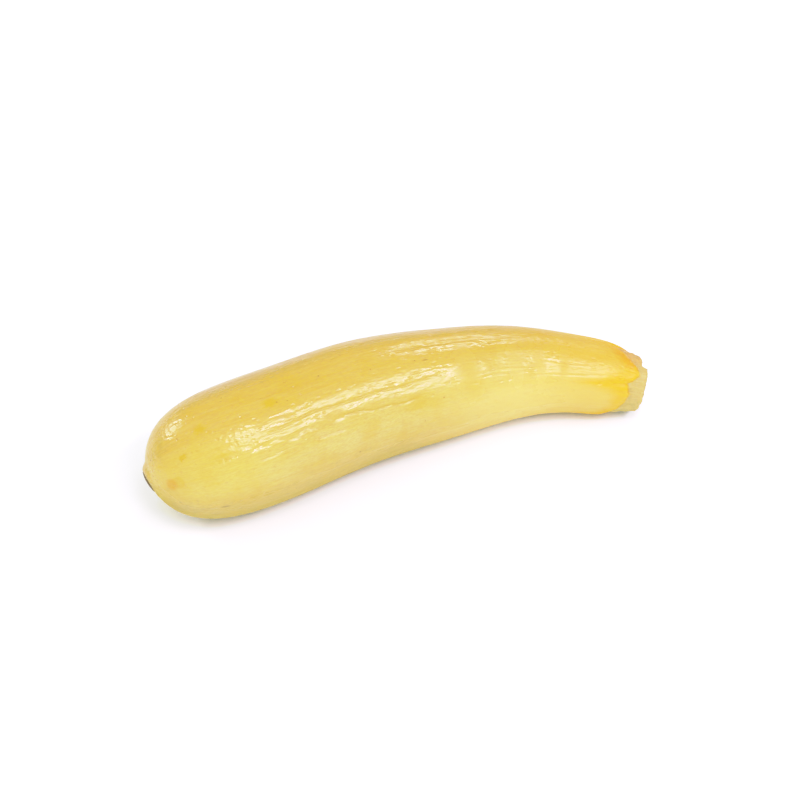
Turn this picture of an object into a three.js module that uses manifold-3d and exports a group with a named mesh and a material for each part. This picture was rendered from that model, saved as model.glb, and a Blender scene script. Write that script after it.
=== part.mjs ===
// A yellow zucchini: one fruit with its cut stem stub and blossom scar, grown as a single piece.
// It lies on its side on a level table, in the pose in which it comes to rest by itself.
//
// Millimetres, +Z up. The origin is under the middle of the fruit, at table level. +X runs along the
// fruit from the blossom end to the cut stem, and +Y points to the outer side of its bend.

import * as THREE from 'three';
import { mergeVertices } from 'three/addons/utils/BufferGeometryUtils.js';
import Module from 'manifold-3d';

// ---- The fruit's core line: a bend to one side, with the nose turned down and back ----
const LENGTH = 192;                                   // from nose to cut stem, along X
const BEND_STATIONS = [0, 0.2, 0.4, 0.6, 0.8, 1];     // fractions of the length
const BEND_OFFSETS = [0, 4, 12.6, 15.7, 14, 0];       // sideways, towards +Y
const NOSE_TURN_REACH = 0.25;                         // the nose turns within this fraction of the length
const NOSE_DROOP = -10.8;                             // downwards at the tip
const NOSE_HOOK = 2.75;                               // sideways at the tip

// ---- Its thickness ----
const GIRTH_STATIONS = [0, 0.15, 0.3, 0.45, 0.6, 0.75, 0.88, 0.93, 0.965, 1];
const GIRTH_RADII = [21.2, 24, 24, 23.05, 21, 17.85, 15.05, 14.1, 12.4, 11];
const NOSE_DOME = 0.22;                               // the nose rounds off within this fraction
const NOSE_BLUNTNESS = 4.5;

// ---- The five lobes of yellow skin that end round the stem ----
// Angles are in degrees round the core line, from +Y over the top. A setback is the distance from the
// cut face to the edge of the skin: small at a lobe's tip, large in the notch between two lobes. A
// groove runs forward from each notch, with a depth at the notch and a swerve in degrees.
const LOBES = [
  { tip: 18, tipSetback: 5, notch: 48, notchSetback: 14, groove: 0.15, swerve: 0 },
  { tip: 109, tipSetback: 3, notch: 129, notchSetback: 6.9, groove: 0.4, swerve: 7 },
  { tip: 152, tipSetback: 5.5, notch: 216, notchSetback: 13, groove: 0.6, swerve: 4 },
  { tip: 248, tipSetback: 7, notch: 280, notchSetback: 12, groove: 0.7, swerve: -4 },
  { tip: 310, tipSetback: 5, notch: 342, notchSetback: 11, groove: 0.6, swerve: 3 },
];
const LOBE_SHARPNESS = 1.6;                           // power of the curve from tip to notch
const LOBE_ROUNDING = 2.2;                            // length in which the skin rounds down to the stub
const LOBE_START = 0.84;                              // the rings begin to follow the lobes here
const MEAN_SETBACK = 6.5;
const GROOVE_LENGTH = 32;
const GROOVE_FADE = 1.7;                              // power with which a groove runs out
const GROOVE_WIDTH = 1.1;
const GROOVE_SPREAD = 0.05;                           // extra width per millimetre from the notch
const GROOVE_SWERVE_LENGTH = 6;                       // most of the swerve comes within this length
const LOBE_BULGE = 0.2;                               // the skin between grooves stands out by this

// ---- The cut stem stub ----
const STUB_RADIUS = 10.8;
const STUB_FLARE = 2.4;                               // extra radius at the flare's length from the cut
const STUB_FLARE_LENGTH = 14;
const STUB_FLARE_POWER = 1.8;
const STUB_RIB = 0.02;                                // five low ribs, one in each notch
const STUB_CORNER = 1.6;                              // rounded rim of the cut face
const CHIP_ANGLE = 27;                                // side of the cut face that broke away lower
const CHIP_DEPTH = 2.1;
const CHIP_START = 4.8;                               // distance of the break from the core line
const CHIP_RAMP = 1.2;
const RIM_WEAR = 0.8;                                 // further wear at the rim on that side
const RIM_WEAR_START = 6.5;
const RIM_WEAR_RAMP = 4;
const CHIP_REACH = 6;                                 // length of stub that the chip draws back

// ---- The corky blossom scar: a low domed disc on a slight swelling of the nose ----
const SCAR_STATION = 0.003;
const SCAR_ANGLE = 137;
const SCAR_OUTWARD = [-0.93, -0.22, -0.29];           // the way it faces, before the fruit is laid down
const SCAR_RADIUS = 4.4;
const SCAR_EDGE = 0.35;                               // height of its edge above the swelling
const SCAR_DOME = 0.9;                                // further height of its middle
const SCAR_ROOT = 1.5;                                // how deep the disc's solid goes into the fruit
const SWELL_HEIGHT = 0.15;                            // height of the swelling's flat top
const SWELL_RADIUS = 7.5;

// ---- Resting pose, and the patches pressed flat where the fruit lies ----
const REST_ROLL = 12;                                 // degrees about X
const REST_PITCH = 4.7;                               // degrees about Y
const REST_FLAT = 0.3;                                // depth of the flats

// ---- Mesh fineness ----
const SEGMENTS = 60;
const NOSE_RINGS = 13;
const BODY_RINGS = 15;
const SHOULDER_RINGS = 10;
const STUB_RINGS = 3;
const CORNER_RINGS = 4;
const FACE_RINGS = 3;
const SCAR_SEGMENTS = 28;

const SKIN_COLOUR = 0xe9d574;
const UP = new THREE.Vector3(0, 0, 1);
const { clamp, degToRad, euclideanModulo } = THREE.MathUtils;

/** Natural cubic spline through (stations[i], values[i]). */
function naturalSpline(stations, values) {
  const last = stations.length - 1;
  const widths = stations.slice(1).map((station, i) => station - stations[i]);
  const slopes = values.slice(1).map((value, i) => (value - values[i]) / widths[i]);
  const curvature = new Array(last + 1).fill(0);
  const carry = new Array(last + 1).fill(0);
  for (let i = 1; i < last; i++) {
    const pivot = 2 * (widths[i - 1] + widths[i]) - widths[i - 1] * carry[i - 1];
    carry[i] = widths[i] / pivot;
    curvature[i] = (6 * (slopes[i] - slopes[i - 1]) - widths[i - 1] * curvature[i - 1]) / pivot;
  }
  for (let i = last - 1; i > 0; i--) curvature[i] -= carry[i] * curvature[i + 1];

  return (x) => {
    let i = 0;
    while (i < last - 1 && x > stations[i + 1]) i++;
    const width = widths[i];
    const near = (stations[i + 1] - x) / width;
    const far = (x - stations[i]) / width;
    const bow = (near ** 3 - near) * curvature[i] + (far ** 3 - far) * curvature[i + 1];
    return near * values[i] + far * values[i + 1] + bow * width * width / 6;
  };
}

const bendAt = naturalSpline(BEND_STATIONS, BEND_OFFSETS);
const girthAt = naturalSpline(GIRTH_STATIONS, GIRTH_RADII);

/** Point of the core line, t running from 0 at the nose to 1 at the cut. */
function corePoint(t) {
  const turn = clamp(1 - t / NOSE_TURN_REACH, 0, 1) ** 2;
  return new THREE.Vector3(LENGTH * t, bendAt(t) + NOSE_HOOK * turn, NOSE_DROOP * turn);
}

/** Unit vectors at t: along the core line, sideways and upwards. */
function coreFrame(t) {
  const step = 1e-4;
  const before = corePoint(Math.max(t - step, 0));
  const along = corePoint(Math.min(t + step, 1)).sub(before).normalize();
  const side = UP.clone().cross(along).normalize();
  return { along, side, up: along.clone().cross(side) };
}

/** Point at a radius and angle (radians) round the core line. */
function offCore(t, radius, angle) {
  const { side, up } = coreFrame(t);
  return corePoint(t)
    .addScaledVector(side, radius * Math.cos(angle))
    .addScaledVector(up, radius * Math.sin(angle));
}

/** Radius of the smooth fruit at t. */
function bodyRadius(t) {
  const rise = clamp(t / NOSE_DOME, 0, 1);
  return Math.sqrt(1 - (1 - rise) ** NOSE_BLUNTNESS) * girthAt(t);
}

/** Distance from the cut face back to the edge of the skin, at an angle in radians. */
function edgeSetback(angle) {
  const degrees = THREE.MathUtils.radToDeg(angle);
  for (let i = 0; i < LOBES.length; i++) {
    const lobe = LOBES[i];
    const start = LOBES.at(i - 1);
    const span = euclideanModulo(lobe.notch - start.notch, 360);
    const here = euclideanModulo(degrees - start.notch, 360);
    if (here > span) continue;
    const tip = euclideanModulo(lobe.tip - start.notch, 360);
    if (here < tip) {
      const rise = start.notchSetback - lobe.tipSetback;
      return lobe.tipSetback + rise * ((tip - here) / tip) ** LOBE_SHARPNESS;
    }
    const fall = lobe.notchSetback - lobe.tipSetback;
    return lobe.tipSetback + fall * ((here - tip) / (span - tip)) ** LOBE_SHARPNESS;
  }
  return MEAN_SETBACK;
}

/** Depth of the grooves that run forward from the notches, where the body has this radius. */
function grooveDepth(t, radius, angle) {
  let depth = LOBE_BULGE / 2 * (1 + Math.cos(LOBES.length * (angle - degToRad(LOBES[1].notch))));
  depth *= clamp(1 - LENGTH * (1 - t) / (2 * GROOVE_LENGTH), 0, 1);
  for (const { notch, notchSetback, groove, swerve } of LOBES) {
    const ahead = Math.max(LENGTH * (1 - t) - notchSetback, 0);
    const fade = clamp(1 - ahead / GROOVE_LENGTH, 0, 1) ** GROOVE_FADE;
    const middle = degToRad(notch + swerve * (1 - Math.exp(-ahead / GROOVE_SWERVE_LENGTH)));
    const turn = euclideanModulo(angle - middle + Math.PI, 2 * Math.PI) - Math.PI;
    const width = GROOVE_WIDTH + GROOVE_SPREAD * ahead;
    depth += groove * fade * Math.exp(-((radius * turn / width) ** 2));
  }
  return depth;
}

/** Radius of the stem stub. */
function stubRadius(t, angle) {
  const rib = 1 + STUB_RIB * Math.cos(LOBES.length * (angle - degToRad(LOBES[1].notch)));
  const flare = (LENGTH * Math.max(1 - t, 0) / STUB_FLARE_LENGTH) ** STUB_FLARE_POWER;
  return STUB_RADIUS * rib + STUB_FLARE * flare;
}

/** Radius of the skin, which rounds down to the stub at its edge. */
function skinRadius(t, angle) {
  const body = bodyRadius(t);
  const radius = body - grooveDepth(t, body, angle);
  const ahead = LENGTH * (1 - t) - edgeSetback(angle);
  const rounding = clamp(1 - ahead / LOBE_ROUNDING, 0, 1);
  if (rounding === 0) return radius;
  const stub = stubRadius(t, angle);
  return stub + (radius - stub) * Math.sqrt(1 - rounding * rounding);
}

/** How far the broken side of the cut face is drawn back, at a radius and angle. */
function chipDepth(t, radius, angle) {
  const height = radius * Math.cos(angle - degToRad(CHIP_ANGLE));
  const chip = CHIP_DEPTH * clamp((height - CHIP_START) / CHIP_RAMP, 0, 1);
  const wear = RIM_WEAR * clamp((height - RIM_WEAR_START) / RIM_WEAR_RAMP, 0, 1);
  const reach = CHIP_REACH / LENGTH;
  return (chip + wear) * clamp((t - 1 + reach) / reach, 0, 1);
}

/** The rings from nose to cut: each gives station and radius at an angle. */
function ringList() {
  const rings = [];
  const meanEdge = 1 - MEAN_SETBACK / LENGTH;
  const corner = STUB_CORNER / LENGTH;
  const edge = (angle) => 1 - edgeSetback(angle) / LENGTH;
  const skinRing = (nominal) => (angle) => {
    const follow = clamp((nominal - LOBE_START) / (meanEdge - LOBE_START), 0, 1);
    const t = nominal + (edge(angle) - meanEdge) * follow;
    return { t, radius: skinRadius(t, angle) };
  };

  for (let i = 1; i <= NOSE_RINGS; i++) {
    rings.push(skinRing(NOSE_DOME * (1 - Math.cos(i / NOSE_RINGS * Math.PI / 2))));
  }
  for (let i = 1; i <= BODY_RINGS; i++) {
    rings.push(skinRing(NOSE_DOME + (LOBE_START - NOSE_DOME) * i / BODY_RINGS));
  }
  for (let i = 1; i <= SHOULDER_RINGS; i++) {
    const crowded = Math.sin(i / SHOULDER_RINGS * Math.PI / 2);
    rings.push(skinRing(LOBE_START + (meanEdge - LOBE_START) * crowded));
  }
  for (let i = 1; i <= STUB_RINGS; i++) {
    rings.push((angle) => {
      const t = edge(angle) + (1 - corner - edge(angle)) * i / STUB_RINGS;
      return { t, radius: stubRadius(t, angle) };
    });
  }
  for (let i = 1; i <= CORNER_RINGS; i++) {
    const turn = i / CORNER_RINGS * Math.PI / 2;
    const t = 1 - corner * (1 - Math.sin(turn));
    const inset = STUB_CORNER * (1 - Math.cos(turn));
    rings.push((angle) => ({ t, radius: stubRadius(t, angle) - inset }));
  }
  for (let i = 1; i < FACE_RINGS; i++) {
    rings.push((angle) => {
      const rim = stubRadius(1, angle) - STUB_CORNER;
      return { t: 1, radius: rim * (1 - i / FACE_RINGS) };
    });
  }
  return rings;
}

/** Centre and outward direction of the blossom scar. */
function scarPlace() {
  const centre = offCore(SCAR_STATION, bodyRadius(SCAR_STATION), degToRad(SCAR_ANGLE));
  return { centre, outward: new THREE.Vector3(...SCAR_OUTWARD).normalize() };
}

/** Draws the skin round the scar towards the flat top of a low swelling. */
function swell(point, scar) {
  const offset = point.clone().sub(scar.centre);
  const height = offset.dot(scar.outward);
  const spread = offset.addScaledVector(scar.outward, -height).length();
  if (height < -SWELL_RADIUS || spread > SWELL_RADIUS) return point;
  const near = 1 - THREE.MathUtils.smoothstep(spread, SCAR_RADIUS, SWELL_RADIUS);
  return point.addScaledVector(scar.outward, near * (SWELL_HEIGHT - height));
}

/** The whole skin and stub as one closed surface. */
function fruitGeometry(scar) {
  const rings = ringList();
  const positions = [];
  const addPoint = (point) => positions.push(point.x, point.y, point.z);

  addPoint(swell(corePoint(0), scar));
  for (const ring of rings) {
    for (let j = 0; j < SEGMENTS; j++) {
      const angle = j / SEGMENTS * 2 * Math.PI;
      const { t, radius } = ring(angle);
      const point = offCore(t, radius, angle);
      point.addScaledVector(coreFrame(t).along, -chipDepth(t, radius, angle));
      addPoint(swell(point, scar));
    }
  }
  addPoint(corePoint(1));

  const indices = [];
  const cutCentre = 1 + rings.length * SEGMENTS;
  const vertex = (ring, j) => 1 + ring * SEGMENTS + j % SEGMENTS;
  for (let j = 0; j < SEGMENTS; j++) {
    indices.push(0, vertex(0, j + 1), vertex(0, j));
    for (let ring = 0; ring < rings.length - 1; ring++) {
      const [a, b] = [vertex(ring, j), vertex(ring, j + 1)];
      const [c, d] = [vertex(ring + 1, j), vertex(ring + 1, j + 1)];
      indices.push(a, b, d, a, d, c);
    }
    const rim = rings.length - 1;
    indices.push(cutCentre, vertex(rim, j), vertex(rim, j + 1));
  }

  const geometry = new THREE.BufferGeometry();
  geometry.setAttribute('position', new THREE.Float32BufferAttribute(positions, 3));
  geometry.setIndex(indices);
  return geometry;
}

/** The corky disc, turned about its own axis and set on the nose. */
function scarGeometry(scar) {
  const profile = [
    new THREE.Vector2(0, -SCAR_ROOT),
    new THREE.Vector2(SCAR_RADIUS * 0.9, -SCAR_ROOT),
    new THREE.Vector2(SCAR_RADIUS, SWELL_HEIGHT),
  ];
  for (const share of [0.96, 0.75, 0.5, 0.25, 0]) {
    const height = SWELL_HEIGHT + SCAR_EDGE + SCAR_DOME * (1 - share * share);
    profile.push(new THREE.Vector2(SCAR_RADIUS * share, height));
  }
  const turn = new THREE.Quaternion();
  turn.setFromUnitVectors(new THREE.Vector3(0, 1, 0), scar.outward);
  return new THREE.LatheGeometry(profile, SCAR_SEGMENTS)
    .applyQuaternion(turn)
    .translate(scar.centre.x, scar.centre.y, scar.centre.z);
}

/** Turns a closed geometry into a solid for cutting and joining. */
function toSolid(wasm, geometry) {
  const bare = geometry.clone();
  bare.deleteAttribute('normal');
  bare.deleteAttribute('uv');
  const merged = mergeVertices(bare);
  const vertProperties = new Float32Array(merged.attributes.position.array);
  const triVerts = new Uint32Array(merged.index.array);
  return new wasm.Manifold(new wasm.Mesh({ numProp: 3, vertProperties, triVerts }));
}

/** Turns a solid back into a geometry. */
function toGeometry(solid) {
  const mesh = solid.getMesh();
  const geometry = new THREE.BufferGeometry();
  geometry.setAttribute('position', new THREE.BufferAttribute(mesh.vertProperties, 3));
  geometry.setIndex(new THREE.BufferAttribute(mesh.triVerts, 1));
  geometry.computeVertexNormals();
  return geometry;
}

/** The finished fruit: scar joined on, laid in its resting pose, pressed flat and centred. */
async function zucchiniGeometry() {
  const wasm = await Module();
  wasm.setup();
  const scar = scarPlace();
  const whole = toSolid(wasm, fruitGeometry(scar)).add(toSolid(wasm, scarGeometry(scar)));

  const laid = toGeometry(whole)
    .rotateX(degToRad(REST_ROLL))
    .rotateY(degToRad(REST_PITCH));
  laid.computeBoundingBox();
  const table = laid.boundingBox.min.z + REST_FLAT;
  const depth = 20;
  const below = new THREE.BoxGeometry(2 * LENGTH, 2 * LENGTH, depth)
    .translate(LENGTH / 2, 0, table - depth / 2);
  const pressed = toGeometry(toSolid(wasm, laid).subtract(toSolid(wasm, below)));

  pressed.computeBoundingBox();
  const middle = pressed.boundingBox.getCenter(new THREE.Vector3());
  return pressed.translate(-middle.x, -middle.y, -pressed.boundingBox.min.z);
}

const skin = new THREE.MeshStandardMaterial({ color: SKIN_COLOUR, roughness: 0.3, metalness: 0 });
const zucchini = new THREE.Mesh(await zucchiniGeometry(), skin);
zucchini.name = 'zucchini';

const model = new THREE.Group();
model.add(zucchini);

export default model;
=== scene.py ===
import math

import bpy
import numpy as np
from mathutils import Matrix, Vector, noise


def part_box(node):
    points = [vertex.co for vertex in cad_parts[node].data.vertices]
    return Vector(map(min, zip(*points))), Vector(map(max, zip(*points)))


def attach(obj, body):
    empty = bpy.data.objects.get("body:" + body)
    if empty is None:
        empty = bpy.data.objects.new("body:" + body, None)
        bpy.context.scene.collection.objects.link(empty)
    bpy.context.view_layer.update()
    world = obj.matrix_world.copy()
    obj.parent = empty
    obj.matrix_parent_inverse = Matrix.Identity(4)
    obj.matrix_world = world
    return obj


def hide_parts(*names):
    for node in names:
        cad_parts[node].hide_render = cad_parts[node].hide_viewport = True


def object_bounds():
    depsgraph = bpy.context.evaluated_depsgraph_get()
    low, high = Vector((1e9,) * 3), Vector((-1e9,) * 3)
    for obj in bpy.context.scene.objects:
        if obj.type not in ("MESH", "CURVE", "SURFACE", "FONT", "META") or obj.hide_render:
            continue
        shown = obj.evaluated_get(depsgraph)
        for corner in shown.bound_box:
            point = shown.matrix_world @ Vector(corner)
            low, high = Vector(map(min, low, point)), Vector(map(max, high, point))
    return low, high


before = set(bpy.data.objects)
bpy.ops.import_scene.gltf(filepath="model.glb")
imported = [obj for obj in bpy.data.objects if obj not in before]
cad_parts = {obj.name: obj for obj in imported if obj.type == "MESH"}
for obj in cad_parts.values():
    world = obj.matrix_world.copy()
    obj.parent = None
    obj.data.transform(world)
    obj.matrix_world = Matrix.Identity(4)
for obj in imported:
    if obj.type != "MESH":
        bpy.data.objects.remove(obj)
CAD_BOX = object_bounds()

# A yellow zucchini lying on a pale table: its fine skin, its corky blossom scar, the table, the
# light and the camera. The fruit is worked out in millimetres by the rules of its solid, and is
# set down in the solid's place in metres.
#
# A station runs from 0 at the nose to 1 at the cut. An angle is in degrees round the core line
# before the fruit is laid down: 0 is +Y, 90 the top, 180 the side towards -Y and 270 the bottom.
# A noise is (height, size of its features along and round the fruit or one size for both, shift
# that sets it apart from the others).
#
# The lists for the core line, the thickness and the lobes, and most places on the side towards -Y,
# come from scratch programs that fitted or mapped the photo's outline and marks. They were then
# rounded, and some were moved.

MM = 0.001

# ---- The fruit's core line: a bend to one side, with the nose turned down and back ----
LENGTH = 192.0
BEND_STATIONS = (0, 0.2, 0.4, 0.6, 0.8, 1)
BEND_OFFSETS = (0, 4, 12.6, 15.7, 14, 0)
NOSE_TURN_REACH = 0.25
NOSE_DROOP = -10.8
NOSE_HOOK = 2.75

# ---- Its thickness ----
GIRTH_STATIONS = (0, 0.15, 0.3, 0.45, 0.6, 0.75, 0.88, 0.93, 0.965, 1)
GIRTH_RADII = (21.2, 24, 24, 23.05, 21, 17.85, 15.05, 14.1, 12.4, 11)
NOSE_DOME = 0.22
NOSE_BLUNTNESS = 4.5

# ---- The five lobes of skin round the stem ----
# Each is (angle of its tip, setback from the cut face, angle of the notch after it, its setback,
# depth of the groove that runs forward from the notch, the groove's swerve in degrees).
LOBES = (
    (18, 5, 48, 14, 0.15, 0),
    (109, 3, 129, 6.9, 0.4, 7),
    (152, 5.5, 216, 13, 0.6, 4),
    (248, 7, 280, 12, 0.7, -4),
    (310, 5, 342, 11, 0.6, 3),
)
LOBE_SHARPNESS = 1.6
LOBE_ROUNDING = 2.2
LOBE_START = 0.84
LOBE_RAGGEDNESS = 0.35
RAG_WAVES = 5  # the ragged edge has about this many waves in a radian
FINE_RAG_WAVES = 13
FINE_RAG_SHARE = 0.6
FINE_RAG_SHIFT = 17.3
MEAN_SETBACK = 6.5
GROOVE_LENGTH = 32.0
GROOVE_FADE = 1.7
GROOVE_WIDTH = 1.1
GROOVE_SPREAD = 0.05
GROOVE_SWERVE_LENGTH = 6.0
LOBE_BULGE = 0.2
SKIN_EDGE = (-0.2, 1.2)  # stub turns into skin between these distances ahead of the edge

# ---- The cut stem stub ----
STUB_RADIUS = 10.8
STUB_FLARE = 2.4
STUB_FLARE_LENGTH = 14.0
STUB_FLARE_POWER = 1.8
STUB_RIB = 0.02
STUB_CORNER = 1.6
CHIP_ANGLE = 27  # the rim of the cut is chipped at this angle
CHIP_DEPTH = 2.1
CHIP_START = 4.8
CHIP_RAMP = 0.7
CHIP_REACH = 6.0
CHIP_WAVE = 0.5
CHIP_WAVE_RATE = 0.9
RIM_WEAR = 0.8
RIM_WEAR_START = 6.5
RIM_WEAR_RAMP = 4.0
WORN_ANGLE = 228  # the rim of the cut is worn round most at this angle
WORN_SPREAD = 40
WORN_DEPTH = 1.0
WORN_REACH = 3.0
CUT_DIMPLE = 0.3
FIBRES = (0.16, (9, 1.3, 1.3), 3.3)
STUB_LUMPS = (0.6, 2.6, 8.8)
STUB_GRAIN = (0.14, 0.8)

# ---- The blossom scar, on a slight swelling of the nose ----
SCAR_STATION = 0.003
SCAR_ANGLE = 137
SCAR_OUTWARD = (-0.93, -0.22, -0.35)
SCAR_RADIUS = 4.4
SCAR_EDGE = 0.35
SCAR_DOME = 0.6
SCAR_TOP = 0.95  # share of the radius that its domed top takes up
SCAR_RIM = (  # share of the radius and height of each ring from rim to root
    (0.985, 0.4),
    (1.0, 0.25),
    (0.985, -0.05),
    (0.93, -0.9),
    (0.6, -1.5),
)
SCAR_DIMPLE = 0.25
SCAR_DIMPLE_SHARE = 0.16
SCAR_POLE_SINK = 0.3
SCAR_WOBBLE = 0.05
SCAR_WOBBLE_WAVES = 1.6
CRACKS = (3, 1.5, 2.2)
CRACK_SHARPNESS = 2
CRACK_DEPTH = 0.14
CORK_GRAIN = (0.06, 0.45)
SWELL_HEIGHT = 0.15
SWELL_RADIUS = 7.5

# ---- Resting pose ----
REST_ROLL = 12.0
REST_PITCH = 4.7
REST_FLAT = 0.3

# ---- Unevenness of the skin ----
BROAD_WAVES = (0.12, (34, 15, 15))
LUMPS = (0.14, (26, 9, 9), 9.4)
WARP = (1.1, (13, 10, 10))  # bends furrows and ribs to the side
RIBS = (0.04, (30, 1.6, 1.6), 17.3)
FURROWS = (2.2, (46, 3.3, 3.3))
FURROW_SHARPNESS = 3
FURROW_DEPTH = 0.07
PATCHES = (1, (20, 10, 10), 5.1)  # ribs and furrows are weaker outside these
PATCH_EDGE = (-0.2, 0.35)
PATCH_LEAST = 0.25
MIDDLE_START = (0.14, 0.28)  # the middle's ribs and furrows come in between these stations
MIDDLE_END = (0.62, 0.8)
MIDDLE_DROP = 0.2
NOSE_END = (0.2, 0.34)
PEEL_SIZE = 2.1
PEEL_HEIGHT = 0.045
PEEL_NOSE_EXTRA = 0.01
PEEL_STRETCH = 1.2
RELIEF_LIFT = 0.05  # the skin's unevenness stands this far out on average

# ---- Single wrinkles: stations and angles of their run, depth and half width ----
WRINKLES = (
    (
        (0.17, 0.22, 0.27, 0.3, 0.32, 0.36, 0.42, 0.48, 0.51, 0.54, 0.58, 0.63),
        (115, 114.5, 114, 113.8, 115, 116, 116.3, 116.5, 115.7, 114.2, 114, 115),
        0.2, 0.42,
    ),
    (
        (0.31, 0.34, 0.365, 0.4, 0.45, 0.475, 0.505, 0.55),
        (124, 125.5, 127, 130, 131, 132, 129.5, 129),
        0.32, 0.65,
    ),
    ((0.48, 0.51, 0.54, 0.6), (107.5, 106.5, 106, 107), 0.1, 0.45),
    ((0.62, 0.7, 0.78, 0.86), (122, 124, 124, 123), 0.1, 0.45),
    ((0.66, 0.74, 0.84, 0.92), (114, 118, 117, 113), 0.1, 0.45),
    ((0.74, 0.8, 0.88, 0.94), (128, 129, 127, 120), 0.1, 0.4),
    ((0.79, 0.83, 0.86, 0.89), (110, 112, 112, 110), 0.16, 0.5),
    ((0.42, 0.48, 0.55, 0.63, 0.7), (79, 79, 78, 77, 76), 0.16, 0.45),
    ((0.47, 0.55, 0.66, 0.72), (74, 73, 71.5, 71), 0.08, 0.4),
    ((0.53, 0.6, 0.68, 0.76), (86, 86, 85, 84), 0.1, 0.42),
    ((0.3, 0.42, 0.55, 0.66), (204, 201, 206, 203), 0.12, 0.6),
    ((0.22, 0.35, 0.5), (28, 32, 29), 0.14, 0.6),
    ((0.35, 0.5, 0.64), (330, 326, 329), 0.12, 0.6),
    ((0.25, 0.38, 0.47), (250, 255, 251), 0.1, 0.5),
)

RUN_FADE_IN = 0.25  # a run comes in and fades out over these shares of its length
RUN_FADE_OUT = 0.35
WAVER = 0.25  # wrinkles waver to the side by about this
BROAD_WAVER = (1, 9)
FINE_WAVER = (0.8, (3.6, 5, 5))
BREAKS = (0.55, (5, 12, 12), 1.7)
BREAK_MEAN = 0.85
BREAK_LIMITS = (0.3, 1.15)
# Furrows and wrinkles are tinted olive, partly the skin's own streaks and partly painted shade in the
# creases, darker for deeper wrinkles.
WRINKLE_TINT_DEPTH = 0.17  # a wrinkle of this depth is fully tinted as a furrow
WRINKLE_TINT_MOST = 1.4
FURROW_TINT = 0.5

# ---- Short folds behind the nose, which slope gently above and steeply below ----
FOLDS = (
    ((0.146, 0.165, 0.186), (119.5, 121.5, 123), 0.11, 0.7),
    ((0.172, 0.192, 0.218), (123, 120.5, 118.5), 0.09, 0.7),
    ((0.2, 0.222, 0.244), (117, 119.5, 122), 0.1, 0.8),
    ((0.232, 0.262, 0.294), (118, 118.5, 120.5), 0.09, 0.7),
    ((0.197, 0.216, 0.236, 0.251), (122.5, 125, 128.5, 130), 0.18, 0.6),
    ((0.166, 0.185, 0.206), (125.5, 127, 127.5), 0.18, 0.8),
    ((0.227, 0.245, 0.264), (127.5, 127, 126), 0.18, 0.8),
    ((0.24, 0.265, 0.28, 0.295, 0.335), (124.5, 126, 128, 130.5, 134.5), 0.36, 0.65),
    ((0.276, 0.295, 0.305, 0.33), (118.5, 120.5, 123, 126.5), 0.2, 0.6),
    ((0.292, 0.32, 0.35), (128.5, 128, 126.5), 0.18, 0.9),
    ((0.17, 0.2, 0.24), (136, 136, 135.5), 0.36, 0.8),
    ((0.26, 0.29, 0.31, 0.36), (135, 136, 137, 139.5), 0.62, 0.8),
    ((0.116, 0.136, 0.158), (116.5, 118, 119), 0.11, 0.7),
    ((0.118, 0.14, 0.162), (124.5, 125, 126), 0.18, 0.7),
)
FOLD_SPREAD = 2.2  # their upper slope is this many times as wide as the lower one
FOLD_WAVER = (0.2, (3.6, 5, 5))

# ---- Broad hollows of the skin, and ridges with a negative depth, given in the same way ----
HOLLOWS = (
    ((0.26, 0.36, 0.48, 0.55, 0.68), (115.5, 116.5, 116.5, 115.5, 115), 0.34, 3.1),
    ((0.18, 0.22, 0.27, 0.34), (112.5, 112.5, 112.5, 113), 0.25, 3.2),
    ((0.45, 0.55, 0.65, 0.76), (78, 78, 77, 77), 0.35, 2.6),
    ((0.65, 0.71, 0.77, 0.84), (108, 108, 108, 107), 0.6, 5.0),
    ((0.6, 0.74, 0.88, 1.08), (136, 138, 139, 138), -0.65, 4.6),
)

# ---- A patch of short ripples behind the nose, on the side towards -Y ----
RIPPLE_START = (0.11, 0.14)
RIPPLE_END = (0.31, 0.38)
RIPPLE_ANGLE = 124.5
RIPPLE_SPREAD = 8.5
RIPPLES = (0.17, (4.5, 1.4, 1.4), 6.1)

# ---- Fineness of the skin mesh ----
SEGMENTS = 320
SEGMENT_CROWDING = 0.5  # they are closer together by this share on the wrinkled upper side
CROWDED_ANGLE = 116
NOSE_RINGS = 74
BODY_RINGS = 150
SHOULDER_RINGS = 42
SHOULDER_CROWDING = 1.5
STUB_RINGS = 12
CORNER_RINGS = 9
FACE_RINGS = 12
SCAR_SEGMENTS = 120
SCAR_RINGS = 26

TURNED_FROM = 30  # the attribute "turned" is the way round from this angle, 0 to 180


# ======== Shape of the fruit, in millimetres ========

def natural_spline(stations, values):
    """Natural cubic spline through the given values, as a function of arrays."""
    stations = np.asarray(stations, float)
    values = np.asarray(values, float)
    last = len(stations) - 1
    widths = np.diff(stations)
    slopes = np.diff(values) / widths
    system = np.eye(last + 1)
    target = np.zeros(last + 1)
    for i in range(1, last):
        system[i, i - 1:i + 2] = (widths[i - 1], 2 * (widths[i - 1] + widths[i]), widths[i])
        target[i] = 6 * (slopes[i] - slopes[i - 1])
    curvature = np.linalg.solve(system, target)

    def value_at(x):
        i = np.clip(np.searchsorted(stations, x) - 1, 0, last - 1)
        near = (stations[i + 1] - x) / widths[i]
        far = (x - stations[i]) / widths[i]
        bow = (near ** 3 - near) * curvature[i] + (far ** 3 - far) * curvature[i + 1]
        return near * values[i] + far * values[i + 1] + bow * widths[i] ** 2 / 6

    return value_at


bend_at = natural_spline(BEND_STATIONS, BEND_OFFSETS)
girth_at = natural_spline(GIRTH_STATIONS, GIRTH_RADII)


def smooth_step(x, low, high):
    """0 below low, 1 above high, and smooth between."""
    u = np.clip((x - low) / (high - low), 0, 1)
    return u * u * (3 - 2 * u)


def unit(vectors):
    """The vectors at length 1."""
    return vectors / np.linalg.norm(vectors, axis=-1, keepdims=True)


def perlin(points):
    """Perlin noise from -1 to 1 at an array of points."""
    flat = points.reshape(-1, 3).tolist()
    return np.array([noise.noise(point) for point in flat]).reshape(points.shape[:-1])


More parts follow.
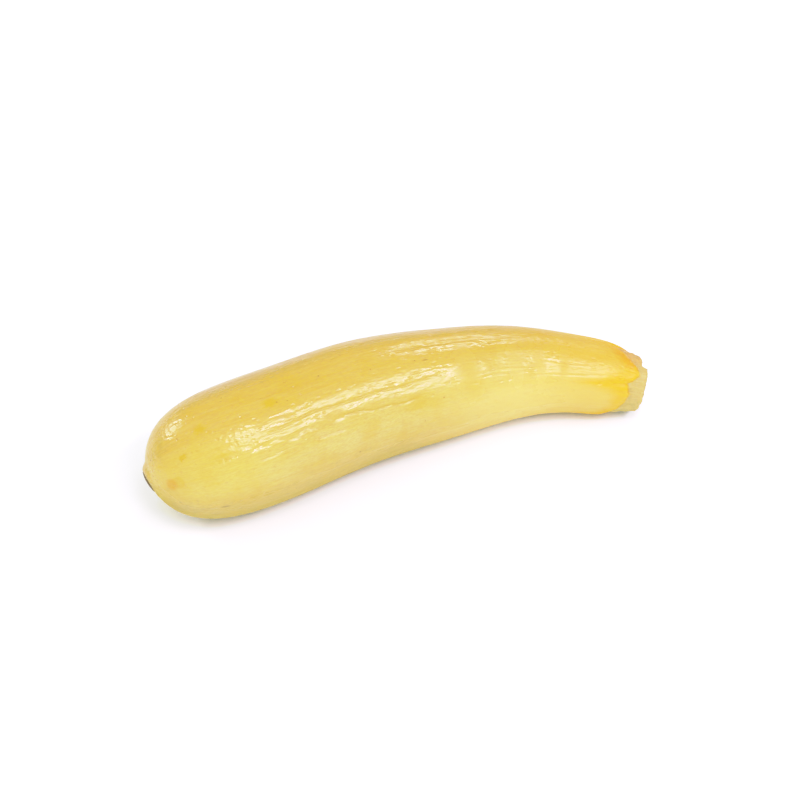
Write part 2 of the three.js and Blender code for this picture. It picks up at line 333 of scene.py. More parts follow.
def uneven(points, height, size, shift=0):
    """Perlin noise of this height, with features of this size."""
    return height * perlin(points / size + shift)


def turn_between(angle, degrees):
    """Signed turn in radians from a direction in degrees to the angle."""
    return (angle - math.radians(degrees) + math.pi) % (2 * math.pi) - math.pi


def core_point(t):
    """Points of the core line, t running from 0 at the nose to 1 at the cut."""
    turn = np.clip(1 - t / NOSE_TURN_REACH, 0, 1) ** 2
    return np.stack([LENGTH * t, bend_at(t) + NOSE_HOOK * turn, NOSE_DROOP * turn], -1)


def core_frame(t):
    """Unit vectors at t: along the core line, to the side and up."""
    step = 1e-4
    along = unit(core_point(np.minimum(t + step, 1)) - core_point(np.maximum(t - step, 0)))
    side = unit(np.cross((0.0, 0.0, 1.0), along))
    return along, side, np.cross(along, side)


def off_core(t, radius, angle):
    """Points at a radius and angle (radians) round the core line."""
    _, side, up = core_frame(t)
    return core_point(t) + radius[..., None] * (
        np.cos(angle)[..., None] * side + np.sin(angle)[..., None] * up
    )


def body_radius(t):
    """Radius of the smooth fruit, whose nose is a blunt dome."""
    rise = np.clip(t / NOSE_DOME, 0, 1)
    return np.sqrt(1 - (1 - rise) ** NOSE_BLUNTNESS) * girth_at(t)


def edge_setback(angle):
    """Distance from the cut face back to the edge of the skin, at angles in radians."""
    degrees = np.degrees(angle) % 360
    setback = np.full_like(degrees, MEAN_SETBACK)
    for i, (tip, tip_setback, notch, notch_setback, _, _) in enumerate(LOBES):
        start, start_setback = LOBES[i - 1][2:4]
        span = (notch - start) % 360
        tip_turn = (tip - start) % 360
        here = (degrees - start) % 360
        before = np.clip((tip_turn - here) / tip_turn, 0, 1) ** LOBE_SHARPNESS
        after = np.clip((here - tip_turn) / (span - tip_turn), 0, 1) ** LOBE_SHARPNESS
        value = tip_setback + (start_setback - tip_setback) * before
        value += (notch_setback - tip_setback) * after
        setback = np.where(here <= span, value, setback)
    ring = np.stack([np.cos(angle), np.sin(angle), np.zeros_like(angle)], -1)
    fine = perlin(ring * FINE_RAG_WAVES + FINE_RAG_SHIFT)
    ragged = perlin(ring * RAG_WAVES) + FINE_RAG_SHARE * fine
    return setback + LOBE_RAGGEDNESS * ragged


def grooves(t, radius, angle):
    """Depth of the grooves that run forward from the notches, and their strength from 0 to 1."""
    from_cut = LENGTH * (1 - t)
    depth = LOBE_BULGE / 2 * (1 + np.cos(len(LOBES) * turn_between(angle, LOBES[1][2])))
    depth = depth * np.clip(1 - from_cut / (2 * GROOVE_LENGTH), 0, 1)
    strength = np.zeros_like(t + angle)
    for _, _, notch, notch_setback, groove, swerve in LOBES:
        ahead = np.maximum(from_cut - notch_setback, 0)
        fade = np.clip(1 - ahead / GROOVE_LENGTH, 0, 1) ** GROOVE_FADE
        aside = np.radians(swerve) * (1 - np.exp(-ahead / GROOVE_SWERVE_LENGTH))
        width = GROOVE_WIDTH + GROOVE_SPREAD * ahead
        across = radius * turn_between(angle - aside, notch) / width
        here = fade * np.exp(-across ** 2)
        depth = depth + groove * here
        strength = np.maximum(strength, here)
    return depth, strength


def stub_radius(t, angle):
    """Radius of the ribbed stub, which widens away from the cut."""
    rib = 1 + STUB_RIB * np.cos(len(LOBES) * turn_between(angle, LOBES[1][2]))
    flare = (LENGTH * np.maximum(1 - t, 0) / STUB_FLARE_LENGTH) ** STUB_FLARE_POWER
    return STUB_RADIUS * rib + STUB_FLARE * flare


def skin_radius(t, angle, setback):
    """Radius of the skin, which rounds down to the stub at its edge."""
    body = body_radius(t)
    radius = body - grooves(t, body, angle)[0]
    ahead = LENGTH * (1 - t) - setback
    rounding = np.clip(1 - ahead / LOBE_ROUNDING, 0, 1)
    stub = stub_radius(t, angle)
    return np.where(rounding > 0, stub + (radius - stub) * np.sqrt(1 - rounding ** 2), radius)


def chip_depth(t, radius, angle):
    """How far the broken side of the cut face is drawn back."""
    height = radius * np.cos(turn_between(angle, CHIP_ANGLE))
    aside = radius * np.sin(turn_between(angle, CHIP_ANGLE))
    edge = CHIP_START + CHIP_WAVE * np.sin(aside * CHIP_WAVE_RATE)
    chip = CHIP_DEPTH * np.clip((height - edge) / CHIP_RAMP, 0, 1)
    wear = RIM_WEAR * np.clip((height - RIM_WEAR_START) / RIM_WEAR_RAMP, 0, 1)
    reach = CHIP_REACH / LENGTH
    return (chip + wear) * np.clip((t - 1 + reach) / reach, 0, 1)


def worn_depth(t, radius, angle):
    """How far the lower rim of the cut face is worn round."""
    from_rim = LENGTH * (1 - t) + stub_radius(t, angle) - radius
    aside = np.degrees(turn_between(angle, WORN_ANGLE))
    return WORN_DEPTH * np.exp(-(from_rim / WORN_REACH) ** 2 - (aside / WORN_SPREAD) ** 2)


def ring_grid():
    """Station, radius, angle and distance ahead of the skin's edge, ring by ring from nose to cut."""
    even = np.linspace(0, 2 * math.pi, SEGMENTS, endpoint=False)
    angle = even - SEGMENT_CROWDING * np.sin(even - math.radians(CROWDED_ANGLE))
    setback = edge_setback(angle)
    edge = 1 - setback / LENGTH
    mean_edge = 1 - MEAN_SETBACK / LENGTH
    corner = STUB_CORNER / LENGTH

    nose_turn = np.linspace(0, math.pi / 2, NOSE_RINGS + 1)[1:]
    nose = NOSE_DOME * (1 - np.cos(nose_turn))
    body = np.linspace(NOSE_DOME, LOBE_START, BODY_RINGS + 1)[1:]
    crowding = 1 - (1 - np.linspace(0, 1, SHOULDER_RINGS + 1)[1:]) ** SHOULDER_CROWDING
    shoulder = LOBE_START + (mean_edge - LOBE_START) * crowding
    nominal = np.concatenate([nose, body, shoulder])[:, None]
    follow = np.clip((nominal - LOBE_START) / (mean_edge - LOBE_START), 0, 1)
    skin_t = nominal + (edge - mean_edge) * follow
    skin_r = skin_radius(skin_t, angle, setback)

    share = np.linspace(0, 1, STUB_RINGS + 1)[1:, None]
    stub_t = edge + (1 - corner - edge) * share
    stub_r = stub_radius(stub_t, angle)

    turn = np.linspace(0, math.pi / 2, CORNER_RINGS + 1)[1:, None]
    corner_t = 1 - corner * (1 - np.sin(turn)) + 0 * angle
    corner_r = stub_radius(corner_t, angle) - STUB_CORNER * (1 - np.cos(turn))

    inward = 1 - np.linspace(0, 1, FACE_RINGS + 1)[1:-1, None]
    face_r = (stub_radius(np.ones_like(angle), angle) - STUB_CORNER) * inward
    face_t = np.ones_like(face_r)

    t = np.concatenate([skin_t, stub_t, corner_t, face_t])
    radius = np.concatenate([skin_r, stub_r, corner_r, face_r])
    return t, radius, angle + 0 * t, LENGTH * (1 - t) - setback


def grid_normals(points):
    """Outward unit normals of a grid of rings."""
    onward = np.gradient(points, axis=0)
    around = np.roll(points, -1, axis=1) - np.roll(points, 1, axis=1)
    return unit(np.cross(onward, around) * -1)


def scar_place():
    """Centre and outward direction of the blossom scar."""
    station = np.array([SCAR_STATION])
    centre = off_core(station, body_radius(station), np.radians([SCAR_ANGLE]))[0]
    return centre, unit(np.array(SCAR_OUTWARD))


def swell(points, centre, outward):
    """Draws the skin round the scar towards the flat top of a low swelling."""
    offset = points - centre
    height = offset @ outward
    spread = np.linalg.norm(offset - height[..., None] * outward, axis=-1)
    near = 1 - smooth_step(spread, SCAR_RADIUS, SWELL_RADIUS)
    near = np.where(height < -SWELL_RADIUS, 0, near)
    return points + (near * (SWELL_HEIGHT - height))[..., None] * outward


def run_depth(t, angle, aside, stations, angles, deepest, half_width, spread=1.0):
    """Depth of one run, which fades at its ends; aside shifts it sideways, in millimetres.

    Its slope above the run is wider than the one below by the spread.
    """
    run = natural_spline(stations, angles)(np.clip(t, stations[0], stations[-1]))
    across = body_radius(t) * turn_between(angle - np.radians(run), 0) + aside
    length = stations[-1] - stations[0]
    fade = smooth_step(t, stations[0], stations[0] + RUN_FADE_IN * length)
    fade = fade * (1 - smooth_step(t, stations[-1] - RUN_FADE_OUT * length, stations[-1]))
    half_width = np.where(across < 0, spread * half_width, half_width)
    return deepest * fade * np.exp(-(across / half_width) ** 2)


def wrinkle_depth(t, angle, strand):
    """Depth of the single wrinkles, whose runs waver and come and go."""
    waver = uneven(strand, *BROAD_WAVER) + uneven(strand, *FINE_WAVER)
    broken = np.clip(BREAK_MEAN + uneven(strand, *BREAKS), *BREAK_LIMITS)
    depth = np.zeros_like(t)
    for wrinkle in WRINKLES:
        depth = np.maximum(depth, broken * run_depth(t, angle, WAVER * waver, *wrinkle))
    return depth


def fold_depth(t, angle, strand):
    """Depth of the short folds, which waver a little."""
    waver = uneven(strand, *FOLD_WAVER)
    return sum(run_depth(t, angle, waver, *fold, FOLD_SPREAD) for fold in FOLDS)


def thin_lines(points, noise_of_lines, sharpness):
    """1 along the middles of thin lines, where a noise is near 0, and 0 between them."""
    return np.clip(1 - np.abs(uneven(points, *noise_of_lines)), 0, 1) ** sharpness


def peel_height(t, grown):
    """The small bumps of the skin, which are round on the nose and longer behind it."""
    nose = 1 - smooth_step(t, *NOSE_END)
    stretch = 1 / (1 + PEEL_STRETCH * (1 - nose))
    stretched = grown * np.stack([stretch, np.ones_like(t), np.ones_like(t)], -1)
    return perlin(stretched / PEEL_SIZE) * (PEEL_HEIGHT + PEEL_NOSE_EXTRA * nose)


def ripple_depth(t, angle, strand):
    """The short ripples behind the nose."""
    there = smooth_step(t, *RIPPLE_START) * (1 - smooth_step(t, *RIPPLE_END))
    aside = np.degrees(turn_between(angle, RIPPLE_ANGLE)) / RIPPLE_SPREAD
    return there * np.exp(-aside ** 2) * uneven(strand, *RIPPLES)


def skin_relief(t, angle, grown, strand):
    """How far the uneven skin lies below the smooth fruit, and the strength of its furrows."""
    warped = strand + uneven(strand, *WARP)[..., None] * (0.0, 1.0, 1.0)
    furrow = thin_lines(warped, FURROWS, FURROW_SHARPNESS)
    patch = smooth_step(uneven(grown, *PATCHES), *PATCH_EDGE)
    patch = PATCH_LEAST + (1 - PATCH_LEAST) * patch
    middle = smooth_step(t, *MIDDLE_START) * (1 - MIDDLE_DROP * smooth_step(t, *MIDDLE_END))
    broad = uneven(grown, *BROAD_WAVES) + uneven(grown, *LUMPS)
    fine = (FURROW_DEPTH * furrow + uneven(warped, *RIBS)) * patch * middle
    relief = broad + fine + peel_height(t, grown) + ripple_depth(t, angle, strand) - RELIEF_LIFT
    return relief, furrow * patch * middle


def stub_relief(grown, strand, face):
    """Depth of the fibres along the stub, and of the lumps and grain that its cut face has too."""
    fibres = uneven(strand, *FIBRES) * (1 - face)
    return fibres + uneven(grown, *STUB_LUMPS) + uneven(grown, *STUB_GRAIN)


# ======== Laying the fruit down in the solid's place ========

def laid_down(points):
    """Turns points of the fruit into its resting pose."""
    roll = math.radians(REST_ROLL)
    pitch = math.radians(REST_PITCH)
    about_x = np.array([
        [1, 0, 0],
        [0, math.cos(roll), -math.sin(roll)],
        [0, math.sin(roll), math.cos(roll)],
    ])
    about_y = np.array([
        [math.cos(pitch), 0, math.sin(pitch)],
        [0, 1, 0],
        [-math.sin(pitch), 0, math.cos(pitch)],
    ])
    return points @ (about_y @ about_x).T


def shift_to_solid(smooth_points):
    """The shift from the fruit's own frame, laid down, to the place of its solid."""
    low, high = (np.array(corner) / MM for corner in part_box("zucchini"))
    laid = laid_down(smooth_points).reshape(-1, 3)
    least, most = laid.min(0), laid.max(0)
    return np.array([
        high[0] - most[0],
        (low[1] + high[1] - least[1] - most[1]) / 2,
        low[2] - least[2] - REST_FLAT,
    ])


# ======== Meshes ========

def make_mesh(name, points, faces, material):
    """A smooth mesh object from points in millimetres."""
    mesh = bpy.data.meshes.new(name)
    mesh.from_pydata((points * MM).tolist(), [], faces)
    mesh.shade_smooth()
    mesh.materials.append(material)
    piece = bpy.data.objects.new(name, mesh)
    bpy.context.scene.collection.objects.link(piece)
    return piece


def tube_faces(rings, segments):
    """Quads between rings of points that follow a first pole, and fans to both poles."""
    last_pole = 1 + rings * segments
    faces = []
    for j in range(segments):
        k = (j + 1) % segments
        faces.append((0, 1 + k, 1 + j))
        for ring in range(rings - 1):
            here = 1 + ring * segments
            there = here + segments
            faces.append((here + j, here + k, there + k, there + j))
        rim = 1 + (rings - 1) * segments
        faces.append((last_pole, rim + j, rim + k))
    return faces


def with_poles(first, grid, last):
    """A pole, the points of all rings and the other pole as one list."""
    flat = grid.reshape((-1,) + grid.shape[2:])
    return np.concatenate([np.asarray(first)[None], flat, np.asarray(last)[None]])


def add_attributes(piece, attributes):
    """Stores numbers or vectors for the material to read, given as for with_poles."""
    for name, parts in attributes.items():
        values = with_poles(*parts)
        kind, field = ("FLOAT_VECTOR", "vector") if values.ndim == 2 else ("FLOAT", "value")
        attribute = piece.data.attributes.new(name, kind, "POINT")
        attribute.data.foreach_set(field, np.ascontiguousarray(values, dtype=np.float32).ravel())


def straightened(t, radius, angle):
    """The fruit's points as if it had grown straight, for its noises to read."""
    around = np.stack([np.zeros_like(angle), np.cos(angle), np.sin(angle)], -1)
    return np.array([LENGTH, 0, 0]) * t[..., None] + around * radius[..., None]


def build_skin(material):
    """The skin, the stub and the cut face as one closed surface, and the shift to its place."""
    t, radius, angle, ahead = ring_grid()
    along, _, _ = core_frame(t)
    smooth = off_core(t, radius, angle)
    smooth = smooth - chip_depth(t, radius, angle)[..., None] * along
    shift = shift_to_solid(smooth)

    # One straight form keeps the real radius, and the other has the same radius from end to end.
    grown = straightened(t, radius, angle)
    strand = straightened(t, np.full_like(t, max(GIRTH_RADII)), angle)
    face = smooth_step(t, 1 - 0.5 * STUB_CORNER / LENGTH, 1)

    relief, furrow = skin_relief(t, angle, grown, strand)
    wrinkle = wrinkle_depth(t, angle, strand)
    hollow = sum(run_depth(t, angle, 0, *run) for run in HOLLOWS) + fold_depth(t, angle, strand)
    on_skin = smooth_step(ahead, *SKIN_EDGE)
    stub = stub_relief(grown, strand, face) + worn_depth(t, radius, angle)
    depth = on_skin * (relief + wrinkle + hollow) + (1 - on_skin) * stub
    centre, outward = scar_place()
    points = swell(smooth - grid_normals(smooth) * depth[..., None], centre, outward)
    nose_pole = swell(core_point(np.array([0.0])), centre, outward)[0]
    cut_pole = core_point(np.array([1.0]))[0] - (CUT_DIMPLE, 0, 0)

    rings, segments = t.shape
    placed = laid_down(with_poles(nose_pole, points, cut_pole)) + shift
    placed[:, 2] = np.maximum(placed[:, 2], 0)  # it lies flat where it would dip into the table
    piece = make_mesh("zucchini_skin", placed, tube_faces(rings, segments), material)

    # What the material reads: distance from the scar, the way round, grooves, and furrows and
    # wrinkles to tint olive, partly as painted shade.
    from_scar = np.linalg.norm(points - centre, axis=-1) - SCAR_RADIUS
    pole_from_scar = np.linalg.norm(nose_pole - centre) - SCAR_RADIUS
    turned = np.degrees(np.abs(turn_between(angle, TURNED_FROM)))
    groove = grooves(t, body_radius(t), angle)[1]
    furrow_tint_and_shade = np.minimum(wrinkle / WRINKLE_TINT_DEPTH, WRINKLE_TINT_MOST)
    furrow_tint_and_shade = np.maximum(FURROW_TINT * furrow, furrow_tint_and_shade)
    add_attributes(piece, {
        "scar": (pole_from_scar, from_scar, LENGTH),
        "grown": ((0, 0, 0), grown, (LENGTH, 0, 0)),
        "strand": ((0, 0, 0), strand, (LENGTH, 0, 0)),
        "station": (0, t, 1),
        "ahead": (LENGTH, ahead, -MEAN_SETBACK),
        "turned": (90, turned, 90),
        "groove": (0, groove, 0),
        "furrow": (0, furrow_tint_and_shade, 0),
        "face": (0, face, 1),
    })
    return piece, shift


def build_scar(material, shift):
    """The corky disc, domed and cracked on top, with its root sunk in the nose."""
    centre, outward = scar_place()
    side = unit(np.cross(outward, (0.0, 0.0, 1.0)))
    up = np.cross(side, outward)
    top = SWELL_HEIGHT + SCAR_EDGE

    # Radius and height of each ring, from the middle of the top over the rim to the root.
    share = np.linspace(0, 1, SCAR_RINGS + 1)[1:]
    dimple = SCAR_DIMPLE * np.exp(-(share / SCAR_DIMPLE_SHARE) ** 2)
    domed = top + SCAR_DOME * (1 - share ** 2) - dimple
    rim_shares, rim_heights = np.transpose(SCAR_RIM)
    radii = SCAR_RADIUS * np.concatenate([SCAR_TOP * share, rim_shares])
    heights = np.concatenate([domed, rim_heights])

    turn = np.linspace(0, 2 * math.pi, SCAR_SEGMENTS, endpoint=False)
    circle = np.stack([np.cos(turn), np.sin(turn), 0 * turn], -1)
    spots = radii[:, None, None] * circle
    wavy = perlin(circle * (SCAR_WOBBLE_WAVES, SCAR_WOBBLE_WAVES, 0))
    reach = radii[:, None] * (1 - SCAR_WOBBLE * (1 + wavy))
    cracks = thin_lines(spots, CRACKS, CRACK_SHARPNESS)
    grain = CORK_GRAIN[0] + uneven(spots, *CORK_GRAIN)
    on_top = (np.arange(len(radii)) < SCAR_RINGS)[:, None]
    rise = heights[:, None] - np.where(on_top, CRACK_DEPTH * cracks + grain, 0)

    grid = centre + reach[..., None] * (circle[:, :1] * side + circle[:, 1:2] * up)
    grid = grid + rise[..., None] * outward
    first = centre + (top + SCAR_DOME - SCAR_POLE_SINK) * outward
    last = centre + SCAR_RIM[-1][1] * outward
    placed = laid_down(with_poles(first, grid, last)) + shift
    faces = [tuple(reversed(face)) for face in tube_faces(*reach.shape)]
    piece = make_mesh("blossom_scar", placed, faces, material)
    add_attributes(piece, {
        "spread": (0, reach / SCAR_RADIUS, 0),
        "grown": ((0, 0, 0), spots, (0, 0, 0)),
        "crack": (0, cracks, 0),
    })
    return piece


# ======== Materials ========

def colour(red, green, blue):
    """A colour given in display values from 0 to 255, as linear values for a shader."""
    def linear(value):
        value = value / 255
        return value / 12.92 if value <= 0.04045 else ((value + 0.055) / 1.055) ** 2.4
    return (linear(red), linear(green), linear(blue), 1)


class Graph:
    """Adds linked nodes to the node tree of a new material."""

    def __init__(self, name):
        self.material = bpy.data.materials.new(name)
        self.material.use_nodes = True
        self.tree = self.material.node_tree
        self.shader = self.tree.nodes["Principled BSDF"]

    def set(self, socket, value):
        """Links an output to a socket, or sets its plain value."""
        if isinstance(value, bpy.types.NodeSocket):
            self.tree.links.new(value, socket)
        elif value is not None:
            socket.default_value = value

    def node(self, kind, **settings):
        """A new node of a kind, with its settings."""
        made = self.tree.nodes.new(kind)
        for key, value in settings.items():
            setattr(made, key, value)
        return made

    def number(self, name):
        """A number that the mesh holds for each vertex."""
        return self.node("ShaderNodeAttribute", attribute_name=name).outputs["Fac"]

    def vector(self, name):
        """A vector that the mesh holds for each vertex."""
        return self.node("ShaderNodeAttribute", attribute_name=name).outputs["Vector"]

    def math(self, operation, first, second):
        made = self.node("ShaderNodeMath", operation=operation)
        self.set(made.inputs[0], first)
        self.set(made.inputs[1], second)
        return made.outputs[0]

    def vector_math(self, operation, first, second=None):
        made = self.node("ShaderNodeVectorMath", operation=operation)
        self.set(made.inputs[0], first)
        self.set(made.inputs[1], second)
        return made.outputs["Value" if operation == "LENGTH" else "Vector"]

    def step(self, value, low, high, start=0.0, end=1.0):
        """Smooth step of the value from start at low to end at high."""
        made = self.node("ShaderNodeMapRange", interpolation_type="SMOOTHSTEP")
        for name, item in zip(("Value", "From Min", "From Max", "To Min", "To Max"),
                              (value, low, high, start, end)):
            self.set(made.inputs[name], item)
        return made.outputs["Result"]

    def noise(self, vector, scale, detail, roughness=0.5):
        """Noise from about 0 to 1; scale is one number or three, in features per millimetre."""
        if isinstance(scale, tuple):
            vector = self.vector_math("MULTIPLY", vector, scale)
            scale = 1.0
        made = self.node("ShaderNodeTexNoise")
        self.set(made.inputs["Vector"], vector)
        made.inputs["Scale"].default_value = scale
        made.inputs["Detail"].default_value = detail
        made.inputs["Roughness"].default_value = roughness
        return made.outputs["Fac"]

    def cells(self, vector, scale):
        """Distance to the middle of the nearest random cell, and a random number for the cell."""
        made = self.node("ShaderNodeTexVoronoi")
        self.set(made.inputs["Vector"], vector)
        made.inputs["Scale"].default_value = scale
        apart = self.node("ShaderNodeSeparateColor")
        self.tree.links.new(made.outputs["Color"], apart.inputs[0])
        return made.outputs["Distance"], apart.outputs[0]

    def mix(self, factor, first, second):
        """Mixes two colours."""
        made = self.node("ShaderNodeMix", data_type="RGBA")
        sockets = [socket for socket in made.inputs if socket.enabled]
        for socket, value in zip(sockets, (factor, first, second)):
            self.set(socket, value)
        return next(socket for socket in made.outputs if socket.enabled)

    def tint(self, base, other, mask, strength):
        """The base with another colour mixed in by the mask times the strength."""
        return self.mix(self.math("MULTIPLY", mask, strength), base, other)

    def region(self, *steps):
        """Product of smooth steps, each given as its value and its ramp."""
        product = None
        for value, ramp in steps:
            here = self.step(value, *ramp)
            product = here if product is None else self.math("MULTIPLY", product, here)
        return product

    def paint(self, base, other, *steps):
        """The base with another colour mixed in over a region."""
        return self.mix(self.region(*steps), base, other)

    def plus(self, value, other, share):
        """The value with a share of another added."""
        return self.math("ADD", value, self.math("MULTIPLY", other, share))

    def bump(self, height, distance):
        made = self.node("ShaderNodeBump")
        self.set(made.inputs["Height"], height)
        made.inputs["Distance"].default_value = distance
        return made.outputs["Normal"]

    def finish(self, **sockets):
        """Sets the shader's own sockets, named with underscores for spaces."""
        for name, value in sockets.items():
            self.set(self.shader.inputs[name.replace("_", " ")], value)
        return self.material


# ---- Marks on the skin: station, angle, length and width in millimetres ----
DEEP_SPOTS = (
    (0.225, 92, 4.6, 3.4),
    (0.113, 94, 3.6, 3.2),
    (0.077, 113.5, 2.2, 2),
    (0.48, 236, 5, 4),
    (0.3, 338, 6, 4),
)
DEEP_PATCHES = (
    (0.625, 121, 9, 13),
    (0.51, 136, 13, 6),
    (0.13, 124, 5, 3.4),
)
AMBER_HALOS = ((0.058, 136.6, 4, 4.6),)
AMBER_SPOTS = ((0.047, 137.6, 3.8, 4.2),)
NOTCH_SPOT_AHEAD = 2
NOTCH_SPOT_SIZE = (16, 8)
NOTCH_SPOTS = tuple(
    (1 - (setback + NOTCH_SPOT_AHEAD) / LENGTH, notch, *NOTCH_SPOT_SIZE)
    for _, _, notch, setback, _, _ in LOBES
)
DULL_PATCHES = (
    (0.622, 114, 7, 16),
    (0.727, 118, 5, 12),
    (0.782, 118, 4, 12),
    (0.835, 118, 3, 12),
)
BROWN_MARKS = (
    (0.36, 166, 0.9, 0.7),
    (0.235, 94, 0.5, 0.5),
    (0.251, 96, 0.45, 0.4),
    (0.329, 84, 0.6, 0.5),
    (0.427, 94, 0.6, 0.35),
    (0.54, 96, 2.6, 0.5),
    (0.561, 136, 0.8, 0.5),
    (0.024, 98, 0.5, 0.5),
    (0.02, 122, 0.5, 0.5),
    (0.113, 174, 3.4, 0.8),
    (0.52, 20, 1.6, 0.5),
    (0.4, 300, 0.8, 0.8),
    (0.7, 250, 2, 0.5),
)

GOLDEN = colour(188, 165, 56)
PALE = colour(194, 183, 102)
# Painted shade for the low front side and the nose's low side.
UNDERSIDE_SHADE = colour(170, 150, 50)
# Painted shade with a painted grey reflection, for the top far at the back.
BACK_SHADE = colour(169, 147, 97)
# Painted light: a lighter yellow for the nose's side towards -Y.
NOSE_LIGHT_YELLOW = colour(206, 185, 60)
STEM_GOLD = colour(199, 166, 42)
STEM_PALE = colour(206, 183, 94)
GROOVE_GOLD = colour(205, 167, 1)
EDGE_ORANGE = colour(202, 153, 1)
DEEP_YELLOW = colour(187, 163, 20)
SPOT_YELLOW = colour(182, 160, 2)
AMBER = colour(190, 154, 30)
TAN = colour(166, 146, 66)
# Olive for furrows and wrinkles, partly painted shade in the creases.
OLIVE = colour(174, 160, 40)
BROWN = colour(122, 98, 36)
STUB_CREAM = colour(181, 167, 92)
STUB_GREEN = colour(173, 162, 82)
STUB_PEACH = colour(184, 150, 72)
PITH_CREAM = colour(204, 190, 138)
BUNDLE_GREEN = colour(146, 138, 72)
RIND_GREEN = colour(160, 148, 70)

# ---- The skin's pattern ----
# A ramp is a smooth step, as (from, to) or (from, to, value before, value after). It reads an
# angle from TURNED_FROM, a station, a distance in millimetres or a noise. A noise here is
# (features in a millimetre, detail, roughness).
CLOUD = (0.09, 3, 0.55)
CLOUD_REACH = 60  # clouds move the borders between the sides by up to this angle
PALE_SIDE = (85, 155)
# LOW_SIDE places painted shade on the low front side.
LOW_SIDE = (135, 185, 0, 0.7)
# BACK_SIDE, BACK_STEM_END and BACK_NOSE_END place painted shade and a painted grey reflection far up
# at the back.
BACK_SIDE = (42, 10)
BACK_STEM_END = (0.9, 0.75)
BACK_NOSE_END = (0.02, 0.16, 0, 0.7)
# NOSE_TIP, NOSE_LOW_SIDE and NOSE_LOW_STRENGTH place painted shade on the nose's low side.
NOSE_TIP = (0.08, 0.02)
NOSE_LOW_SIDE = (95, 120)
NOSE_LOW_STRENGTH = 0.6

DEEP_CLOUDS = (0.46, 0.68)
DEEP_BY_SIDE = (0, 1, 0.5, 0.3)
# The olive tint in furrows and wrinkles, partly painted shade in the creases, at this strength.
FURROW_STRENGTH = 0.45
STRAND_ROUGHNESS = 0.6  # strands: features along and round, detail, ramp and colour
PALE_STREAKS = ((0.05, 0.9, 0.9), 3, (0.35, 0.75, 0, 0.3), PALE)
FINE_STRANDS = ((0.1, 2.4, 2.4), 2, (0.4, 0.75, 0, 0.4), DEEP_YELLOW)
SPECKLES = ((0.7, 2.2, 2.2), 2, (0.35, 0.7, 0, 0.42), TAN)

STEM_PALE_START = (0.45, 0.75)
STEM_GOLD_START = (0.69, 0.95)
GOLD_BY_SIDE = (0, 1, 0.9, 0.45)
RIM_NOISE = (0.55, 2)
RIM_SHAKE = -3
RIM = (7, 1, 0, 0.95)
RIM_FRONT_SIDE = (58, 78)
NOTCH_BLUR = 0.8
GROOVE = (0.05, 0.5, 0, 0.95)
# NOSE_FRONT, NOSE_UPPER_SIDE and NOSE_LOWER_SIDE place painted light on the nose.
NOSE_FRONT = (0.26, 0.12)
NOSE_UPPER_SIDE = (65, 90)
NOSE_LOWER_SIDE = (150, 120, 0, 0.32)

RAGGED = (0.8, 2)
MARK_SHAKE = 2.4
PORES_PER_MM = 0.16
PORE = (0.06, 0.03)
PORE_CHANCE = (0.78, 0.8)
PORE_STRENGTH = 0.5
SCAR_SHAKE = 1.6
SCAR_TAN = (4.5, 1, 0, 0.55)
SCAR_BROWN = (1.5, 0.7, 0, 0.8)

STUB_FIBRES = ((0.12, 0.8, 0.8), 3, 0.6)
STUB_GREENER = (0.35, 0.7, 0, 0.6)
STUB_UPPER_SIDE = (66, 40, 0, 0.7)
STUB_SHAKE = 1.2
PITH = (5.5, 3, 0, 0.8)
RING_START = (5, 6.2)
RING_END = (8.6, 7.4)
RIND = (8.6, 9.8, 0, 0.7)
BUNDLES_PER_MM = 0.5
BUNDLE = (0.5, 0.2)
BUNDLE_STRENGTH = 0.7

GLOSS_CHANGE = (0.18, 0.34)  # stations where the nose's gloss turns into the body's
PIT_STRETCH = (1, 0.45)  # this and the next two: at the nose, and at the body
PIT_HEIGHT = (1.1, 0.75)
PEBBLE_HEIGHT = (1.7, 1.5)
PITS_PER_MM = 0.62
PIT = (0.42, 0.12)
PIT_CHANCE = (0.35, 0.75)
PEBBLES = (0.7, 1)
GLOSS_RIBS = ((0.15, 1.2, 1.2), 2)
GLOSS_RIB_HEIGHT = 0.5
GLOSS_BUMP = 0.00012
ROUGH_CLOUDS = ((0.06, 0.24, 0.24), 2)
ROUGHNESS = (0.35, 0.65, 0.17, 0.27)
STEM_ROUGHER = (0.78, 0.9, 0, 0.16)
DULL_BLUR = 0.9
DULL_ROUGHER = 0.3
STUB_ROUGHER = 0.05
GRAZING = (0.35, 0.85)
GRAZING_ROUGHER = (80, 120, 0.15, 0.6)


def marks_mask(graph, points, marks, blur):
    """1 on the given marks, 0 elsewhere, with blurred outlines."""
    mask = None
    for station, degrees, length, width in marks:
        radius = float(body_radius(np.array(station)))
        angle = math.radians(degrees)
        centre = (LENGTH * station, radius * math.cos(angle), radius * math.sin(angle))
        offset = graph.vector_math("SUBTRACT", points, centre)
        scaled = graph.vector_math("MULTIPLY", offset, (2 / length, 2 / width, 2 / width))
        spot = graph.step(graph.vector_math("LENGTH", scaled), 1 + blur, 1 - blur)
        mask = spot if mask is None else graph.math("MAXIMUM", mask, spot)
    return mask


